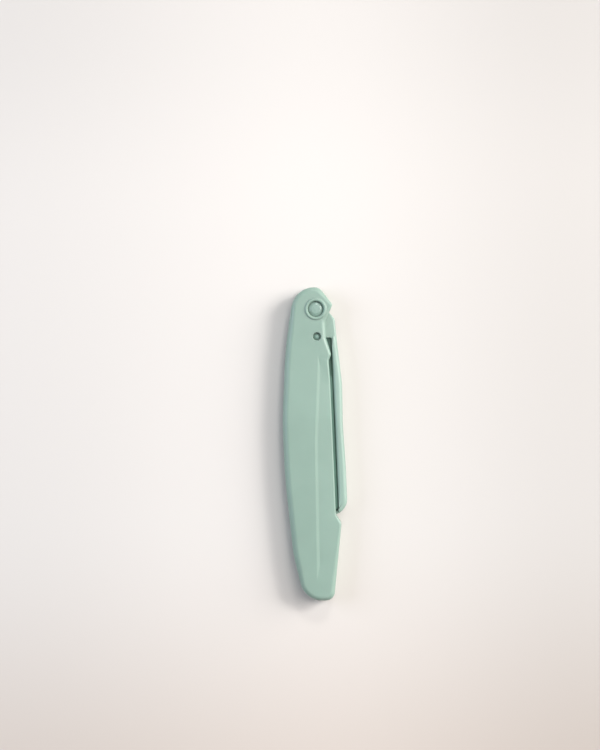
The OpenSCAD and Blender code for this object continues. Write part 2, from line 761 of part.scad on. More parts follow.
// The guard: two rails along the blade's sides, joined over the cutting edge by a row of fine teeth
module guard_comb() {
    gap_w = tooth_pitch - tooth_w;
    slot_t = blade_t / 2 + blade_room;
    color("#dfeee7")
        at_pivot()
            difference() {
                at_blade()
                    union() {
                        difference() {
                            along_edge(-guard_end, edge_len + guard_end)
                                polygon([
                                    [web_back, rail_z],
                                    [rail_in, rail_z],
                                    [0, nose_t],
                                    [-tooth_reach, nose_tip_t],
                                    [-tooth_reach, -nose_tip_t],
                                    [0, -nose_t],
                                    [rail_in, -rail_z],
                                    [web_back, -rail_z]]);
                            along_edge(-blade_room, edge_len + blade_room)
                                polygon([
                                    [-blade_room, 0],
                                    [grind_w - blade_room, -slot_t],
                                    [web_back + cut, -slot_t],
                                    [web_back + cut, slot_t],
                                    [grind_w - blade_room, slot_t]]);
                            for (i = [0 : tooth_count - 1])
                                translate([first_gap + i * tooth_pitch, -tooth_reach - cut, -rail_z - cut])
                                    cube([gap_w, tooth_reach + cut + rail_in, 2 * (rail_z + cut)]);
                        }
                        for (s = tab_steps)
                            translate([s - tab_w / 2, rail_in + blade_room, -rail_z])
                                cube([tab_w, tab_len + web_back - rail_in - blade_room, rail_t]);
                    }
                rivet_holes();
            }
}

// The plate that clamps the blade and the guard's tabs to the web
module blade_keeper() {
    color("#a3c3b7")
        at_pivot()
            difference() {
                translate([0, 0, keeper_z])
                    linear_extrude(keeper_t)
                        polygon(flat(outline([
                            [each on_blade(-keeper_over, web_back), keeper_r],
                            [each on_blade(edge_len, web_back), keeper_r],
                            [back_inner_out - keeper_gap, tip_bar_t + keeper_gap - tip_drop, keeper_r],
                            [back_inner_out - keeper_gap, -keeper_top_drop, keeper_r]])));
                rivet_holes();
            }
}

// Small rivets through the keeper, the blade, the tabs and the web
module keeper_rivets() {
    color("#b9bdbf")
        at_pivot()
            for (s = rivet_steps)
                translate([each on_blade(s, rivet_in), 0])
                    rotate_extrude()
                        polygon(concat(
                            [for (k = [0 : corner_steps])
                                let (t = 90 * k / corner_steps)
                                [rivet_cap_r * sin(t), web_z - rivet_cap_h * cos(t)]],
                            [[rivet_r, web_z], [rivet_r, keeper_z + keeper_t]],
                            [for (k = [0 : corner_steps])
                                let (t = 90 * k / corner_steps)
                                [rivet_cap_r * cos(t), keeper_z + keeper_t + rivet_cap_h * sin(t)]]));
}

module rivet_holes() {
    for (s = rivet_steps)
        translate([each on_blade(s, rivet_in), 0])
            cylinder(h = face_z, r = rivet_r + rivet_room);
}

// A profile drawn across the blade, run along the cutting edge from a to b
module along_edge(a, b) {
    translate([a, 0, 0])
        rotate([90, 0, 90])
            linear_extrude(b - a)
                children();
}

// Places its children with x along the cutting edge, y in from the edge and z from the blade's middle
module at_blade() {
    translate([edge_top.x, edge_top.y, seam_z])
        rotate([0, 0, atan2(along.y, along.x)])
            children();
}

module at_pivot() {
    translate([pivot.x, pivot.y, 0])
        children();
}

front_shell();
back_shell();
pivot_barrel();
pivot_pin();
stop_pin();
head_frame();
blade();
guard_comb();
blade_keeper();
keeper_rivets();
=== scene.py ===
import math

import bmesh
import bpy
from mathutils import Matrix, Vector


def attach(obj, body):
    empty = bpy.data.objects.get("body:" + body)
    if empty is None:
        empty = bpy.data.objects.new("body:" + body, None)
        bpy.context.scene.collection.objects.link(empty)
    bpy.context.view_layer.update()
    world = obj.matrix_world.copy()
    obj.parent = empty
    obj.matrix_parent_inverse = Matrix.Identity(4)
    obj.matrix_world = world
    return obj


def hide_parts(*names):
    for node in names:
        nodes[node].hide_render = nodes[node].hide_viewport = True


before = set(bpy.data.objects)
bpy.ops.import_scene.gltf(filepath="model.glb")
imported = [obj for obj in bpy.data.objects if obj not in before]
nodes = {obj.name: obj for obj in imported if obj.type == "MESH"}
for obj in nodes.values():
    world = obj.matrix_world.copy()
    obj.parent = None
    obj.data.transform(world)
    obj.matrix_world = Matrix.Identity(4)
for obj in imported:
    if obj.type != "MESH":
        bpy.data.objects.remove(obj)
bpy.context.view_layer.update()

# Sizes are in millimetres until to_metres, and angles in degrees
MM = 0.001

# How far a bore is cut past the face, and how far the channel is cut past the outline
BORE_OVER = 1.0
FAR = 40.0


def node_centre(name):
    """The middle of a CAD node, seen from above, in millimetres, to the nearest hundredth."""
    places = [nodes[name].matrix_world @ v.co / MM for v in nodes[name].data.vertices]
    ends = [(min(side), max(side)) for side in ([p.x for p in places], [p.y for p in places])]
    return Vector([round((low + high) / 2, 2) for low, high in ends])


PIVOT = node_centre("pivot_pin")
STOP = node_centre("stop_pin")

# Handle
FACE_Z = 7.6
SEAM_Z = FACE_Z / 2
WALL_T = 1.9
RIM_T = 1.5
POCKET_R = 1.6
SIDE_ROUND = 2.2
END_ROUND = 1.7
SLOT_ROUND = 0.8
SLOT_EDGE_ROUND = 0.5
NECK_ROUND = 1.5
SPUR_ROUND = 1.1
LAND_FALL = 0.5
NOTCH_FALL = 0.1
NOTCH_IN = 0.2
SEAM_V = 0.12
SHOULDER = (-10.9, -12.4)
BELLY_TOP = (-13.1, -38.0)
BELLY_LOW = (-13.1, -57.0)
WAIST = (-11.3, -84.5)
SLOT_OUT = 3.95
TIP_Y = -71.2
CHANNEL_Y = -72.5
STOP_LAND_X = -6.65
STOP_LAND_TOP = 4.2
STOP_LAND_LOW = -2.0
BOSSES = [(-8.45, -5.0), (-11.0, -50.0)]
BOSS_R = 1.5

# The handle's outline about the pivot:
# x, y, corner radius, rounding of the outer edge, fall of the face
SHELL = [
    (-7.1, 7.6, 8.0, END_ROUND, 0.0),
    (*SHOULDER, 120.0, SIDE_ROUND, 0.0),
    (*BELLY_TOP, 120.0, SIDE_ROUND, 0.0),
    (*BELLY_LOW, 120.0, SIDE_ROUND, 0.0),
    (*WAIST, 45.0, SIDE_ROUND, 0.0),
    (-7.9, -100.5, 7.6, END_ROUND, 0.0),
    (2.1, -100.5, 3.0, END_ROUND, 0.0),
    (5.8, TIP_Y - 2.8, 2.0, SLOT_ROUND, LAND_FALL),
    (SLOT_OUT, TIP_Y, 2.0, SLOT_EDGE_ROUND, LAND_FALL),
    (SLOT_OUT, -26.0, 30.0, SLOT_EDGE_ROUND, LAND_FALL),
    (SLOT_OUT - NOTCH_IN, -17.8, 1.6, SLOT_ROUND, NOTCH_FALL),
    (4.75, -15.9, 1.6, SPUR_ROUND, 0.0),
    (3.15, -9.9, 2.6, NECK_ROUND, 0.0),
    (3.15, -4.5, 2.6, NECK_ROUND, 0.0),
    (5.85, 1.3, 0.9, SLOT_ROUND, 0.0),
    (1.55, 7.6, 3.6, END_ROUND, 0.0),
]

# The crease, from its lower end over its bend to its upper end, and the soft step along it
CREASE = [Vector((-3.6, -94.0)), Vector((-2.4, -46.0)), Vector((0.1, -15.0))]
CREASE_W = 1.3
CREASE_FALL = 0.3
CREASE_RUN = 6.0
CREASE_SOFT = 0.2
STEP_ROWS = 8
LAND_ROWS = 4

# Fineness of the meshes: steps along a rounding or a turn, then lengths and angles of one step
EDGE_STEPS = 9
BACK_STEPS = 8
CROWN_STEPS = 8
RIB_STEPS = 6
RIM_STEPS = 5
SOFT_STEPS = 4
TANG_STEPS = 3
WEB_STEPS = 2
LATHE_STEPS = 96
SHELL_STEP = 3.0
TURN_STEP = 4.0
DOME_STEP = 10

# Welding distances, and the angles above which an edge is shaded sharp, for each kind of mesh
WELD = 1e-5
CAD_WELD = 1e-3
SHARP = 32.0
SHARP_CAD = 40.0
SHARP_RIVET = 40.0
SHARP_TURNED = 50.0
NORMAL_WEIGHT = 60

# The pieces that keep their CAD form: the angles of a flat joint and of a hard edge, the bevels
FLAT_ANGLE = 1.0
HARD_ANGLE = 30.0
BEVEL_SEGMENTS = 2
BEVEL_PROFILE = 0.6
KEEPER_BEVEL = 0.08
GUARD_BEVEL = 0.05

# Pivot rivet, its collar, and the stop pin
RIVET_R = 2.55
RIVET_SINK = 0.15
RIVET_T = 0.85
RIVET_SLOPE_W = 1.0
RIVET_SLOPE_H = 0.45
RIVET_SOFT = 0.15
RECESS_R = 2.65
RECESS_RIM = 0.3
RECESS_LAND = 0.15
RECESS_HIGH_Z = 1.1
COLLAR_R = 3.9
COLLAR_T = 1.1
CROWN_H = 0.4
CROWN_DIP = 0.1
CROWN_OUT_W = 0.5
CROWN_IN_W = 0.35
BARREL_R = 1.75
BARREL_ROOM = 0.05
CORE_R = 1.1
CORE_LOW_Z = 1.6
CORE_ROOM = 0.05
STOP_R = 1.05
STOP_FLOOR_Z = 0.8
MOUTH_R = 1.4
MOUTH_T = 1.2
MOUTH_RIM = 0.25
MOUTH_LAND = 0.05
MOUTH_BORE_T = 1.45
DOME_H = 0.6

# What these sizes give: levels, and the radii of the bores that the rims stand in
RIVET_TOP_Z = FACE_Z - RIVET_SINK
RIVET_UNDER_Z = FACE_Z - RIVET_SINK - RIVET_T
RIVET_BACK_Z = RIVET_SINK + RIVET_T
COLLAR_LOW_Z = FACE_Z - COLLAR_T
MOUTH_FLOOR_Z = FACE_Z - MOUTH_T
MOUTH_LOW_Z = FACE_Z - MOUTH_BORE_T
MOUTH_OUT = MOUTH_R + MOUTH_RIM + MOUTH_LAND
RECESS_OUT = RECESS_R + RECESS_RIM + RECESS_LAND

# Head
NECK_OUT = 6.45
NECK_Y = -3.7
NECK_LEFT = 1.17
NECK_FLOOR_Y = -10.0
BACK_INNER = 5.0
BACK_START_Y = -9.6
BACK_START_RUN = 3.0
BACK_T = 6.2
BACK_ROUND = 1.3
BACK_STEP = 0.05
INNER_ROUND = 0.9
INNER_TOP_ROUND = 0.2
INNER_RUN = 8.0
TANG_R = 4.6
TANG_T = 3.6
TANG_ROUND = 0.15
NECK_EDGE_ROUND = 0.8
NOSE_R = 0.6
TIP_LEFT = -3.2
TIP_BAR_T = 1.4
ARM = (6.95, -12.0)
WEB_LOW_Z = 2.55
WEB_T = 1.1
WEB_BACK = 2.0
WEB_OVER = 1.7
WEB_END = 1.2
WEB_LIP = 1.2
WEB_TOP_Y = -9.5
WEB_ROUND = 0.05
EDGE_TOP = Vector((-8.8, -24.5))
EDGE_LOW = Vector((-3.0, -67.8))

# Where the neck starts inside the tang's ring, about the pivot: x, y, corner radius
NECK_ROOT = [(4.3, -0.9, 0.0), (3.0, -1.2, 0.0)]

# The head's outer edge about the pivot, from the tip up: x, y, corner radius
BACK = [
    (8.1, TIP_Y, 5.5),
    (8.1, -54.0, 30.0),
    (7.7, -40.0, 30.0),
    (8.05, -26.0, 30.0),
    (*ARM, 30.0),
]


def corner(before, here, after):
    """One rounded corner's points: place, outward direction, edge rounding, fall of the face."""
    p, c, s = Vector(before[:2]), Vector(here[:2]), Vector(after[:2])
    radius = here[2]
    edge, fall = here[3:] if len(here) > 3 else (0.0, 0.0)
    ua, ub = (p - c).normalized(), (s - c).normalized()
    half = math.acos(max(-1.0, min(1.0, ua.dot(ub)))) / 2
    turn = 1.0 if ub.x * ua.y - ub.y * ua.x > 0 else -1.0
    mid = (ua + ub).normalized()
    if radius == 0:
        return [(c, -mid * turn, edge, fall)]
    sweep = math.pi - 2 * half
    steps = max(1, math.ceil(math.degrees(sweep) / TURN_STEP))
    centre = c + mid * radius / math.sin(half)
    start = c + ua * radius / math.tan(half) - centre
    out = []
    for i in range(steps + 1):
        d = start.copy()
        d.rotate(Matrix.Rotation(turn * sweep * i / steps, 2))
        out.append((centre + d, turn * d / radius, edge, fall))
    return out


def outline(corners):
    """A closed outline with all its corners rounded."""
    before, after = corners[-1:] + corners[:-1], corners[1:] + corners[:1]
    return [point for three in zip(before, corners, after) for point in corner(*three)]


def spaced(points):
    """The outline with points added where it runs straight for longer than a shell's step."""
    out = []
    for i, p in enumerate(points):
        q = points[(i + 1) % len(points)]
        steps = max(1, math.ceil((p[0] - q[0]).length / SHELL_STEP))
        for k in range(steps):
            t = k / steps
            out.append((p[0].lerp(q[0], t), p[1].lerp(q[1], t).normalized(),
                        p[2] + t * (q[2] - p[2]), p[3] + t * (q[3] - p[3])))
    return out


def linked(name, data):
    """A new object in the scene."""
    o = bpy.data.objects.new(name, data)
    bpy.context.scene.collection.objects.link(o)
    return o


def new_object(name, bm, place=None):
    """A mesh object in millimetres, moved to a place."""
    if place:
        bmesh.ops.translate(bm, verts=bm.verts, vec=(place.x, place.y, 0.0))
    me = bpy.data.meshes.new(name)
    bm.to_mesh(me)
    bm.free()
    return linked(name, me)


def cut(o, tool):
    """Takes the tool's solid away from the object."""
    m = o.modifiers.new("cut", "BOOLEAN")
    m.object = tool
    m.operation = "DIFFERENCE"
    m.solver = "EXACT"
    made = bpy.data.meshes.new_from_object(o.evaluated_get(bpy.context.evaluated_depsgraph_get()))
    o.modifiers.clear()
    old = o.data
    o.data = made
    bpy.data.meshes.remove(old)
    bpy.data.objects.remove(tool)


def is_sharp(edge, angle):
    """Whether an edge between two faces turns by more than the angle."""
    return len(edge.link_faces) == 2 and edge.calc_face_angle(0.0) > math.radians(angle)


def smooth(o, angle=SHARP, weighted=True):
    """Smooth shading, with the edges sharper than the angle kept."""
    bm = bmesh.new()
    bm.from_mesh(o.data)
    for f in bm.faces:
        f.smooth = True
    for e in bm.edges:
        e.smooth = not is_sharp(e, angle)
    bm.to_mesh(o.data)
    bm.free()
    if weighted:
        m = o.modifiers.new("normals", "WEIGHTED_NORMAL")
        m.keep_sharp = True
        m.weight = NORMAL_WEIGHT


def to_metres(o):
    """Scales a mesh from millimetres to metres."""
    o.data.transform(Matrix.Scale(MM, 4))
    o.data.update()


def add_rings(bm, rings):
    """Side faces between rings of points. Returns the rings' vertices."""
    made = [[bm.verts.new(p) for p in ring] for ring in rings]
    n = len(rings[0])
    for low, high in zip(made, made[1:]):
        for i in range(n):
            j = (i + 1) % n
            bm.faces.new((low[i], low[j], high[j], high[i]))
    return made


def edge_ring(points, top, angle, up=1.0):
    """One ring of a rounded rim: turned in, and up or down, by the angle."""
    ring = []
    for place, outward, edge, fall in points:
        p = place - outward * edge * (1 - math.cos(angle))
        ring.append((p.x, p.y, top - up * (fall + edge * (1 - math.sin(angle)))))
    return ring


def loft(bm, points, low, high, steps):
    """A closed solid on an outline, its rims rounded by the points' own roundings."""
    angles = [math.pi / 2 * k / steps for k in range(steps + 1)]
    rings = [edge_ring(points, low, a, -1.0) for a in reversed(angles)]
    rings += [edge_ring(points, high, a) for a in angles]
    made = add_rings(bm, rings)
    bm.faces.new(list(reversed(made[0])))
    bm.faces.new(made[-1])


def lathe(bm, profile):
    """A closed profile of (radius, z) points, turned about z."""
    rings = []
    for r, z in profile:
        count = LATHE_STEPS if r > 0 else 1
        turns = [2 * math.pi * i / count for i in range(count)]
        rings.append([bm.verts.new((r * math.cos(t), r * math.sin(t), z)) for t in turns])
    for a, b in zip(rings, rings[1:] + rings[:1]):
        for i in range(LATHE_STEPS if len(a) + len(b) > 2 else 0):
            j = (i + 1) % LATHE_STEPS
            face = [a[i % len(a)], a[j % len(a)], b[j % len(b)], b[i % len(b)]]
            bm.faces.new(list(dict.fromkeys(face)))


def arc(cx, cy, r, start, end, steps):
    """The points of an arc about (cx, cy)."""
    turns = [math.radians(start + (end - start) * k / steps) for k in range(steps + 1)]
    return [(cx + r * math.cos(t), cy + r * math.sin(t)) for t in turns]


def soft(before, here, after, reach):
    """A corner of a profile, softened within a reach of it."""
    p, c, s = Vector(before), Vector(here), Vector(after)
    a, b = c + (p - c).normalized() * reach, c + (s - c).normalized() * reach
    shares = [k / SOFT_STEPS for k in range(SOFT_STEPS + 1)]
    return [tuple(a.lerp(c, t).lerp(c.lerp(b, t), t)) for t in shares]


def welded(bm):
    """Joins the points that lie together, and turns all faces outwards."""
    bmesh.ops.remove_doubles(bm, verts=bm.verts, dist=WELD)
    bmesh.ops.recalc_face_normals(bm, faces=bm.faces)


def turned(name, profile, centre, angle=SHARP_TURNED):
    """A turned piece, in metres."""
    bm = bmesh.new()
    lathe(bm, profile)
    welded(bm)
    o = new_object(name, bm, centre)
    smooth(o, angle, weighted=False)
    to_metres(o)
    return o


def eased(t):
    """A smooth rise from 0 to 1."""
    t = max(0.0, min(1.0, t))
    return t * t * (3 - 2 * t)


def even_slope(t):
    """A fall from 0 to 1 that is even but for its softened ends."""
    w = CREASE_SOFT
    if t > 0.5:
        return 1 - even_slope(1 - t)
    return (t * t / (2 * w) if t < w else t - w / 2) / (1 - w)


def crease_at(share):
    """A place on the crease, by its share of the way from the lower to the upper end."""
    low, mid, top = CREASE
    y = low.y + share * (top.y - low.y)
    a, b = (low, mid) if y < mid.y else (mid, top)
    return a.lerp(b, (y - a.y) / (b.y - a.y))


def crease_row(place, edge, top):
    """Points from the crease, down its step and over the land, to a point on the slot edge."""
    low, high = CREASE[0].y, CREASE[2].y
    fade = eased(min(place.y - low, high - place.y) / CREASE_RUN)
    row = []
    for k in range(STEP_ROWS + 1):
        share = k / STEP_ROWS
        row.append(Vector((place.x + CREASE_W * fade * share, place.y,
                           top - CREASE_FALL * fade * even_slope(share))))
    foot = row[-1]
    return row + [foot.lerp(edge, k / LAND_ROWS) for k in range(1, LAND_ROWS)]


def half_handle():
    """Half of the handle, its seam at z = 0 and its face up."""
    points = spaced(outline(SHELL))
    top = FACE_Z - SEAM_Z
    n = len(points)
    rings = [[(*(p - d * SEAM_V), 0.0) for p, d, r, f in points],
             [(*p, SEAM_V) for p, d, r, f in points]]
    rings += [edge_ring(points, top, math.pi / 2 * k / EDGE_STEPS) for k in range(EDGE_STEPS + 1)]
    bm = bmesh.new()
    made = add_rings(bm, rings)
    bm.faces.new(list(reversed(made[0])))
    rim = made[-1]
    falling = [i for i in range(n) if points[i][3] > 0]
    span = range(falling[0] - 1, falling[-1] + 2)
    start, end = rim[span[0]].co.y, rim[span[-1]].co.y
    rows = []
    for i in span:
        edge = rim[i].co
        row = crease_row(crease_at((edge.y - start) / (end - start)), edge, top)
        rows.append([bm.verts.new(p) for p in row] + [rim[i]])
    for low, high in zip(rows, rows[1:]):
        for k in range(len(low) - 1):
            bm.faces.new((low[k], low[k + 1], high[k + 1], high[k]))
    flat = [rim[i % n] for i in range(span[-1], n + span[0] + 1)]
    flat += rows[0][-2::-1] + [row[0] for row in rows[1:-1]] + rows[-1][:-1]
    bm.faces.new(flat)
    welded(bm)
    return bm


def drill(centre, radius, low, high):
    """A cylinder for cutting, in millimetres."""
    bm = bmesh.new()
    lathe(bm, [(0.0, low), (radius, low), (radius, high), (0.0, high)])
    welded(bm)
    return new_object("drill", bm, centre)


def channel():
    """The space that the head folds into, less the bosses round its two locating pegs."""
    share = (BELLY_LOW[1] - CHANNEL_Y) / (BELLY_LOW[1] - WAIST[1])
    low_x = RIM_T + BELLY_LOW[0] + share * (WAIST[0] - BELLY_LOW[0])
    corners = [(FAR, FAR, 0.0), (-FAR, FAR, 0.0), (-FAR, STOP_LAND_TOP, 0.0),
               (STOP_LAND_X, STOP_LAND_TOP, 0.0), (STOP_LAND_X, STOP_LAND_LOW, POCKET_R)]
    corners += [(RIM_T + x, y, POCKET_R) for x, y in (SHOULDER, BELLY_TOP, BELLY_LOW)]
    corners += [(low_x, CHANNEL_Y, POCKET_R), (FAR, CHANNEL_Y, 0.0)]
    points = outline(corners)
    bm = bmesh.new()
    rings = [[(p.x, p.y, z) for p, d, r, f in points] for z in (WALL_T, FACE_Z - WALL_T)]
    made = add_rings(bm, rings)
    bm.faces.new(list(reversed(made[0])))
    bm.faces.new(made[-1])
    welded(bm)
    o = new_object("channel", bm, PIVOT)
    for boss in BOSSES:
        cut(o, drill(PIVOT + Vector(boss), BOSS_R, 0.0, FACE_Z))
    return o


def shell(name, front):
    """One half shell, bored in front for the collar and the stop pin, behind for the rivet."""
    bm = half_handle()
    if not front:
        bmesh.ops.scale(bm, verts=bm.verts, vec=(1.0, 1.0, -1.0))
        bmesh.ops.reverse_faces(bm, faces=bm.faces)
    bmesh.ops.translate(bm, verts=bm.verts, vec=(0.0, 0.0, SEAM_Z))
    o = new_object(name, bm, PIVOT)
    cut(o, channel())
    if front:
        cut(o, drill(PIVOT, COLLAR_R, COLLAR_LOW_Z, FACE_Z + BORE_OVER))
        cut(o, drill(STOP, MOUTH_OUT, MOUTH_LOW_Z, FACE_Z + BORE_OVER))
    else:
        cut(o, drill(PIVOT, RECESS_OUT, -BORE_OVER, RECESS_HIGH_Z))
    smooth(o)
    to_metres(o)
    return o


def pivot_collar():
    """The raised ring round the front rivet head, and the wall of that head's recess."""
    steps = [k / CROWN_STEPS for k in range(CROWN_STEPS + 1)]
    crown = [(COLLAR_R - CROWN_OUT_W * t, FACE_Z + CROWN_H * eased(t)) for t in steps]
    crown += [(RECESS_R + CROWN_IN_W * (1 - t),
               FACE_Z + CROWN_H - (CROWN_H + CROWN_DIP) * eased(t)) for t in steps]
    profile = [*crown, (RECESS_R, COLLAR_LOW_Z), (COLLAR_R, COLLAR_LOW_Z)]
    return turned("pivot_collar", profile, PIVOT)


def stop_mouth():
    """The softened mouth in front of the stop pin."""
    rim = arc(MOUTH_R + MOUTH_RIM, FACE_Z - MOUTH_RIM, MOUTH_RIM, 90, 180, RIM_STEPS)
    profile = [(MOUTH_OUT, FACE_Z), *rim, (MOUTH_R, MOUTH_FLOOR_Z), (STOP_R, MOUTH_FLOOR_Z),
               (STOP_R, MOUTH_LOW_Z), (MOUTH_OUT, MOUTH_LOW_Z)]
    return turned("stop_mouth", profile, STOP)


def back_recess():
    """The softened recess round the rivet's back head."""
    rim = arc(RECESS_R + RECESS_RIM, RECESS_RIM, RECESS_RIM, 270, 180, RIM_STEPS)
    profile = [(RECESS_OUT, 0.0), *rim, (RECESS_R, RIVET_BACK_Z), (RIVET_R, RECESS_HIGH_Z),
               (RECESS_OUT, RECESS_HIGH_Z)]
    return turned("back_recess", profile, PIVOT)


def sloped_rim():
    """The sloped rim of the rivet's front head, from its side to its flat, its corners softened."""
    foot = (RIVET_R, RIVET_TOP_Z - RIVET_SLOPE_H)
    crest = (RIVET_R - RIVET_SLOPE_W, RIVET_TOP_Z)
    rim = soft((RIVET_R, RIVET_UNDER_Z), foot, crest, RIVET_SOFT)
    return rim + soft(foot, crest, (0.0, RIVET_TOP_Z), RIVET_SOFT)


def rivet_barrel():
    """The rivet's back head and the barrel that the head turns on."""
    rim = [(r, FACE_Z - z) for r, z in sloped_rim()]
    profile = [(0.0, RIVET_SINK), *reversed(rim), (RIVET_R, RIVET_BACK_Z),
               (BARREL_R, RIVET_BACK_Z), (BARREL_R, RIVET_UNDER_Z), (CORE_R, RIVET_UNDER_Z),
               (CORE_R, CORE_LOW_Z), (0.0, CORE_LOW_Z)]
    return turned("rivet_barrel", profile, PIVOT, SHARP_RIVET)


def rivet_front_head():
    """The rivet's front head and its pin."""
    end = CORE_LOW_Z + CORE_ROOM
    profile = [(0.0, end), (CORE_R, end), (CORE_R, RIVET_UNDER_Z), (RIVET_R, RIVET_UNDER_Z),
               *sloped_rim(), (0.0, RIVET_TOP_Z)]
    return turned("rivet_front_head", profile, PIVOT, SHARP_RIVET)


def stop_pin_dome():
    """The stop pin with its domed end."""
    turns = [math.radians(a) for a in range(0, 90, DOME_STEP)]
    dome = [(STOP_R * math.cos(t), MOUTH_FLOOR_Z + DOME_H * math.sin(t)) for t in turns]
    profile = [(0.0, STOP_FLOOR_Z), (STOP_R, STOP_FLOOR_Z), *dome, (0.0, MOUTH_FLOOR_Z + DOME_H)]
    return turned("stop_pin_dome", profile, STOP)


def head_rib(bm):
    """The tang's ring, the neck, the edge along the back and the bar across the tip."""
    low, high = SEAM_Z - TANG_T / 2, SEAM_Z + TANG_T / 2
    bar_y = TIP_Y + TIP_BAR_T
    corners = [*NECK_ROOT, (NECK_LEFT, NECK_Y, 0.0), (NECK_LEFT, NECK_FLOOR_Y, NOSE_R),
               (BACK_INNER, NECK_FLOOR_Y, NOSE_R), (BACK_INNER, bar_y, NOSE_R),
               (TIP_LEFT, bar_y, NOSE_R), (TIP_LEFT, TIP_Y, NOSE_R), *BACK[:-1]]
    rib = [(*c, TANG_ROUND, 0.0) for c in corners]
    rib += [(*BACK[-1], NECK_EDGE_ROUND, 0.0),
            (NECK_OUT, NECK_Y, NECK_EDGE_ROUND, NECK_EDGE_ROUND, 0.0)]
    loft(bm, outline(rib), low, high, RIB_STEPS)
    mid, inner = TANG_R - TANG_ROUND, BARREL_R + BARREL_ROOM
    lathe(bm, [(inner, low), *arc(mid, low + TANG_ROUND, TANG_ROUND, 270, 360, TANG_STEPS),
               *arc(mid, high - TANG_ROUND, TANG_ROUND, 0, 90, TANG_STEPS), (inner, high)])


def head_back(bm):
    """The thick back of the head, which stands out along the slot."""
    around = outline([(0.0, NECK_Y, 0.0), (0.0, TIP_Y, 0.0)] + BACK + [(NECK_OUT, NECK_Y, NOSE_R)])
    edge = [(p - d * BACK_STEP, d, BACK_ROUND, 0.0) for p, d, r, f in around
            if p.x > BACK_INNER + INNER_TOP_ROUND and p.y < BACK_START_Y]
    tip, tip_out = edge[0][0].y, edge[0][1].y
    inner, left = BACK_INNER + BACK_STEP, Vector((-1.0, 0.0))
    high = BACK_START_Y - BACK_START_RUN
    share = (BACK_START_Y - NECK_Y) / (ARM[1] - NECK_Y)
    start_x = NECK_OUT + share * (ARM[0] - NECK_OUT) - BACK_STEP
    points = [(Vector((inner, high)), left, INNER_TOP_ROUND, 0.0),
              (Vector((inner, high - INNER_RUN)), left, INNER_ROUND, 0.0),
              (Vector((inner, tip + INNER_RUN)), left, INNER_ROUND, 0.0),
              (Vector((inner, tip)), Vector((0.0, tip_out)), BACK_ROUND, 0.0)]
    points += edge + [(Vector((start_x, BACK_START_Y)), -left, BACK_ROUND, 0.0)]
    loft(bm, points, SEAM_Z - BACK_T / 2, SEAM_Z + BACK_T / 2, BACK_STEPS)


def head_web(bm):
    """The thin web that carries the blade."""
    along = (EDGE_LOW - EDGE_TOP).normalized()
    inward = Vector((-along.y, along.x)) * WEB_BACK
    high = EDGE_TOP - along * WEB_OVER + inward
    low = EDGE_LOW + along * WEB_END + inward
    bar_y = TIP_Y + TIP_BAR_T / 2
    join_x = (BACK_INNER + NECK_OUT) / 2
    places = [(join_x, WEB_TOP_Y), (NECK_LEFT, WEB_TOP_Y), (NECK_LEFT, NECK_FLOOR_Y - WEB_LIP),
              high, low, (low.x, bar_y), (join_x, bar_y)]
    web = outline([(*place, 0.0, WEB_ROUND, 0.0) for place in places])
    loft(bm, web, WEB_LOW_Z, WEB_LOW_Z + WEB_T, WEB_STEPS)


def head_piece(name, *forms):
    """Some of the head's forms as one mesh, in metres."""
    bm = bmesh.new()
    for form in forms:
        form(bm)
    welded(bm)
    o = new_object(name, bm, PIVOT)
    smooth(o)
    to_metres(o)
    return o


def refined(node, name, bevel=0.0):
    """A CAD node's own form, its hard edges softened by a narrow bevel where one is given."""
    bm = bmesh.new()
    bm.from_mesh(nodes[node].data)
    bmesh.ops.scale(bm, verts=bm.verts, vec=(1 / MM, 1 / MM, 1 / MM))
    bmesh.ops.remove_doubles(bm, verts=bm.verts, dist=CAD_WELD)
    bmesh.ops.dissolve_limit(bm, angle_limit=math.radians(FLAT_ANGLE), verts=bm.verts,
                             edges=bm.edges)
    if bevel:
        hard = [e for e in bm.edges if is_sharp(e, HARD_ANGLE)]
        bmesh.ops.bevel(bm, geom=hard, offset=bevel, segments=BEVEL_SEGMENTS,
                        profile=BEVEL_PROFILE, affect="EDGES", clamp_overlap=True)
    o = new_object(name, bm)
    smooth(o, SHARP_CAD)
    to_metres(o)
    return o


# Noise: scale per metre, and detail
CLOUDS = (55.0, 3.0)
GLOSS = (120.0, 4.0)
SKIN = (2600.0, 2.0)
LINES = (900.0, 3.0)
SMEARS = (160.0, 3.0)
FLOOR_CLOUDS = (2.5, 2.0)

# Stops along the noise: the swing of the roughness, and the colour's share and plus
GLOSS_SWING = [(0.3, -0.05), (0.7, 0.06)]
CLOUD_TINTS = [(0.32, 0.955, 0.0), (0.52, 1.0, 0.0), (0.72, 1.035, 0.004)]
LINE_TINTS = [(0.3, 0.86, 0.0), (0.7, 1.0, 0.0)]

# Bump: strength, and distance in metres
SKIN_BUMP = (0.03, 0.0002)
LINE_BUMP = (0.05, 0.0001)

# Worn edges: tint, and how much of it shows along the pointiness
WORN_TINT = (1.25, 0.05)
WORN_STOPS = [(0.505, 0.0), (0.56, 0.10)]

# The glow is light scattered under the surface: its radii in red, green and blue, and its reach
PLASTIC_IOR = 1.49
GLOW_RADII = (0.6, 1.0, 0.85)
GLOW_REACH = 0.0016
LINE_STRETCH = (0.03, 1.0, 1.0)


def node_material(name):
    """A new material, its node tree and its shader."""
    m = bpy.data.materials.new(name)
    m.use_nodes = True
    return m, m.node_tree, m.node_tree.nodes["Principled BSDF"]


